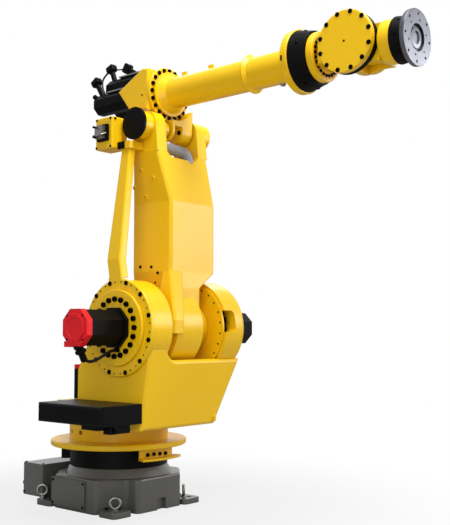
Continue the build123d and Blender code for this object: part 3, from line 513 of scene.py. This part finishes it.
# socket on the junction box: black frame at its foot, a bail across it and two jack screws
socketFrame = {"centre": (156, -240, 1517), "width": 64, "length": 68, "thick": 11, "bail": 3.5,
               "jacks": [(140, -270, 1537), (140, -270, 1497)], "jackRadius": 3.5, "jackLength": 14}
bm = bmesh.new()
roundedPlate(bm, facing(socketFrame["centre"], (0, -1, 0)), socketFrame["width"], socketFrame["length"],
             socketFrame["thick"], 6, 2)
keep("socketFrame", bm, blackRubber, "lower_arm")
bm = bmesh.new()
bailRoute = curved([(180, -244, 1517), (181, -262, 1509), (179, -276, 1503), (155, -276, 1501),
                    (131, -276, 1503), (129, -262, 1509), (130, -244, 1517)], 8)
swept(bm, bailRoute, [socketFrame["bail"]] * len(bailRoute), 10)
keep("socketBail", bm, zincSteel, "lower_arm")
bm = bmesh.new()
jackRadius, jackLength = socketFrame["jackRadius"], socketFrame["jackLength"]
for place in socketFrame["jacks"]:
    turned(bm, facing(place, (0, -1, 0)), [
        (jackRadius, -1), (jackRadius, 8), (jackRadius + 1.5, 8), (jackRadius + 1.5, 12),
        (jackRadius, jackLength)])
keep("socketJacks", bm, blackOxide, "lower_arm")

# strap on the strut, beside the foot of the junction box
strutStrap = {"centre": (226, -208, 1463), "width": 40, "length": 30, "thick": 3}
bm = bmesh.new()
roundedPlate(bm, facing(strutStrap["centre"], (0, -1, 0)), strutStrap["width"], strutStrap["length"],
             strutStrap["thick"], 3, 1)
keep("strutStrap", bm, blackRubber, "lower_arm")

# lifting eyes on the corner lugs: (x, y, way the ring faces, extra height of its collar)
liftingEyes = {"stands": [(194, -194, -45, 0), (194, 194, 45, 0), (-194, 194, 135, 0), (-228, -222, -40, 7)],
               "lug": 22, "ring": 20, "wire": 6, "shank": 8, "shankHeight": 8, "collar": 12}
bm = bmesh.new()
shank, collar, wire = liftingEyes["shank"], liftingEyes["collar"], liftingEyes["wire"]
upright = Vector((0, 0, 1))
for x, y, turn, lift in liftingEyes["stands"]:
    foot = Vector((x, y, liftingEyes["lug"]))
    turned(bm, Matrix.Translation(foot), [
        (collar, -1), (collar, 2 + lift), (collar - 2, 4 + lift), (shank, 5 + lift), (shank, 9 + lift)])
    centre = foot + upright * (lift + liftingEyes["shankHeight"] + liftingEyes["ring"])
    level = Vector((-math.sin(math.radians(turn)), math.cos(math.radians(turn)), 0))
    across = level.cross(upright)
    loops = []
    for i in range(32):
        angle = 2 * math.pi * i / 32
        outward = level * math.cos(angle) + upright * math.sin(angle)
        turns = [2 * math.pi * k / 14 for k in range(14)]
        middle = centre + outward * liftingEyes["ring"]
        loops.append([middle + (outward * math.cos(t) + across * math.sin(t)) * wire for t in turns])
    skin(bm, loops, ring=True)
eyes = keep("liftingEyes", bm, zincSteel, "base")
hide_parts("lifting_eyes")

# knob and lead gland on the connector box
boxKnob = {"place": (-372, -196, 70), "radius": 12, "length": 14}
boxGland = {"place": (-300, 20, 160), "normal": (0.3, 0, 1), "radius": 13, "length": 26}
bm = bmesh.new()
turned(bm, facing(boxKnob["place"], (-1, 0, 0)), [
    (boxKnob["radius"] - 3, -1), (boxKnob["radius"] - 3, 5), (boxKnob["radius"], 6),
    (boxKnob["radius"], boxKnob["length"] - 3), (boxKnob["radius"] - 3, boxKnob["length"])])
turned(bm, facing(boxGland["place"], boxGland["normal"]), [
    (boxGland["radius"], -4), (boxGland["radius"], 10), (boxGland["radius"] - 3, 12),
    (boxGland["radius"] - 3, boxGland["length"] - 4), (boxGland["radius"] - 7, boxGland["length"])])
keep("boxGlands", bm, blackRubber, "base")

# gland on the control box
sideGland = {"place": (382, -378, 362), "radius": 11, "nut": 16, "length": 20}
bm = bmesh.new()
turned(bm, facing(sideGland["place"], (1, 0, 0)), [
    (sideGland["radius"], 8), (sideGland["radius"], 10, 6), (sideGland["radius"], sideGland["nut"], 6),
    (sideGland["radius"] - 4, sideGland["nut"] + 1), (sideGland["radius"] - 5, sideGland["length"])])
keep("sideBoxGland", bm, blackOxide, "turret")

# black cover seen in the right housing's window, with a round boss
windowCover = {"centre": (280, 178, 735), "angle": 12, "reach": 138, "width": 50, "length": 84, "thick": 7,
               "boss": 20}
tilt = math.radians(windowCover["angle"])
outward = Vector((math.cos(tilt), 0, math.sin(tilt)))
stand = facing(Vector(windowCover["centre"]) + outward * windowCover["reach"], outward)
bm = bmesh.new()
roundedPlate(bm, stand, windowCover["width"], windowCover["length"], windowCover["thick"], 5, 1)
turned(bm, stand, [(windowCover["boss"], 5), (windowCover["boss"], 18), (windowCover["boss"] - 3, 20),
                   (windowCover["boss"] * 0.6, 20), (windowCover["boss"] * 0.55, 14)])
keep("windowCover", bm, blackEnamel, "turret")
print("fittings on the boxes and the base")

# lamps stand in metres and all point at the lower arm
studio = {"floor": "#a4a4a4", "floorHalf": 30, "sky": "#ffffff", "ambient": 0.38, "aim": (0.3, 0, 1.0),
          "wall": (-0.5, 0.86, 0), "wallStart": -0.4, "wallFull": 0.8,
          "key": (1.9, -0.45, 4.3), "keyPower": 150, "keySize": 1.8,
          "front": (2.9, 2.5, 1.7), "frontPower": 40, "frontSize": 1.3,
          "fill": (1.7, -2.7, 1.1), "fillPower": 27, "fillSize": 2.0,
          "rim": (-1.4, 2.4, 3.4), "rimPower": 36, "rimSize": 2.0,
          "nearWhite": 0.8, "farWhite": 1.0, "nearReach": 0.5, "farReach": 1.7}


def areaLight(name, place, target, power, size):
    light = bpy.data.lights.new(name, "AREA")
    light.energy, light.size = power, size
    lamp = bpy.data.objects.new(name, light)
    lamp.location = place
    lamp.rotation_euler = (Vector(target) - Vector(place)).to_track_quat("-Z", "Y").to_euler()
    scene.collection.objects.link(lamp)
    return lamp


for lamp in ("key", "front", "fill", "rim"):
    areaLight(lamp + "Light", studio[lamp], studio["aim"], studio[lamp + "Power"], studio[lamp + "Size"])

# white to the eye all round; shiny faces see a white wall behind the arm and a darker room in front
world = bpy.data.worlds.new("studioWorld")
world.use_nodes = True
worldTree = world.node_tree
worldTree.nodes.clear()
rays = addNode(worldTree, "ShaderNodeLightPath")
bearing = addNode(worldTree, "ShaderNodeTexCoord").outputs["Generated"]
toWall = addNode(worldTree, "ShaderNodeVectorMath", {0: bearing, 1: studio["wall"]}, operation="DOT_PRODUCT")
wall = addNode(worldTree, "ShaderNodeMapRange", {
    "Value": toWall.outputs["Value"], "From Min": studio["wallStart"], "From Max": studio["wallFull"]})
shine = addNode(worldTree, "ShaderNodeMath", {0: rays.outputs["Is Glossy Ray"], 1: wall.outputs["Result"]},
                operation="MULTIPLY")
direct = addNode(worldTree, "ShaderNodeMath", {0: rays.outputs["Is Camera Ray"],
                                               1: rays.outputs["Is Transmission Ray"]}, operation="MAXIMUM")
seen = addNode(worldTree, "ShaderNodeMath", {0: direct.outputs[0], 1: shine.outputs[0]}, operation="MAXIMUM")
glow = addNode(worldTree, "ShaderNodeMapRange", {"Value": seen.outputs[0], "To Min": studio["ambient"],
                                                 "To Max": 1.0})
sky = addNode(worldTree, "ShaderNodeBackground", {"Color": linear(studio["sky"]),
                                                  "Strength": glow.outputs["Result"]})
addNode(worldTree, "ShaderNodeOutputWorld", {"Surface": sky.outputs["Background"]})
scene.world = world

# floor fades from a soft shadow under the base to the white surroundings
floorMesh = bpy.data.meshes.new("studioFloor")
half = studio["floorHalf"]
floorCorners = [(-half, -half, 0), (half, -half, 0), (half, half, 0), (-half, half, 0)]
floorMesh.from_pydata(floorCorners, [], [(0, 1, 2, 3)])
floor = bpy.data.objects.new("studioFloor", floorMesh)
floorLook, floorTree = blankMaterial("paleFloor")
floorRays = addNode(floorTree, "ShaderNodeLightPath")
floorPlace = addNode(floorTree, "ShaderNodeTexCoord").outputs["Object"]
floorReach = addNode(floorTree, "ShaderNodeVectorMath", {0: floorPlace}, operation="LENGTH")
floorFade = addNode(floorTree, "ShaderNodeMapRange", {
    "Value": floorReach.outputs["Value"], "From Min": studio["nearReach"], "From Max": studio["farReach"],
    "To Min": studio["nearWhite"], "To Max": studio["farWhite"]}, interpolation_type="SMOOTHSTEP")
floorShare = addNode(floorTree, "ShaderNodeMath", {0: floorRays.outputs["Is Camera Ray"],
                                                   1: floorFade.outputs["Result"]}, operation="MULTIPLY")
floorPaint = addNode(floorTree, "ShaderNodeBsdfDiffuse", {"Color": linear(studio["floor"])})
floorWhite = addNode(floorTree, "ShaderNodeEmission", {"Color": linear(studio["sky"]), "Strength": 1.0})
floorMix = addNode(floorTree, "ShaderNodeMixShader", {0: floorShare.outputs[0], 1: floorPaint.outputs[0],
                                                      2: floorWhite.outputs[0]})
addNode(floorTree, "ShaderNodeOutputMaterial", {"Surface": floorMix.outputs[0]})
floorMesh.materials.append(floorLook)
scene.collection.objects.link(floor)

# the photograph's viewing angle: low, from the arm's front left
view = {"place": (2.8012, -2.5473, 0.7209), "yaw": 130.9, "pitch": 4.5, "lens": 60.0, "sensor": 36}
camera = bpy.data.objects.new("camera", bpy.data.cameras.new("camera"))
camera.data.lens, camera.data.sensor_width = view["lens"], view["sensor"]
camera.location = view["place"]
yaw, pitch = math.radians(view["yaw"]), math.radians(view["pitch"])
look = Vector((math.cos(pitch) * math.cos(yaw), math.cos(pitch) * math.sin(yaw), math.sin(pitch)))
camera.rotation_euler = look.to_track_quat("-Z", "Y").to_euler()
scene.collection.objects.link(camera)
scene.camera = camera
scene.view_settings.view_transform = "Standard"
print("camera and light set")
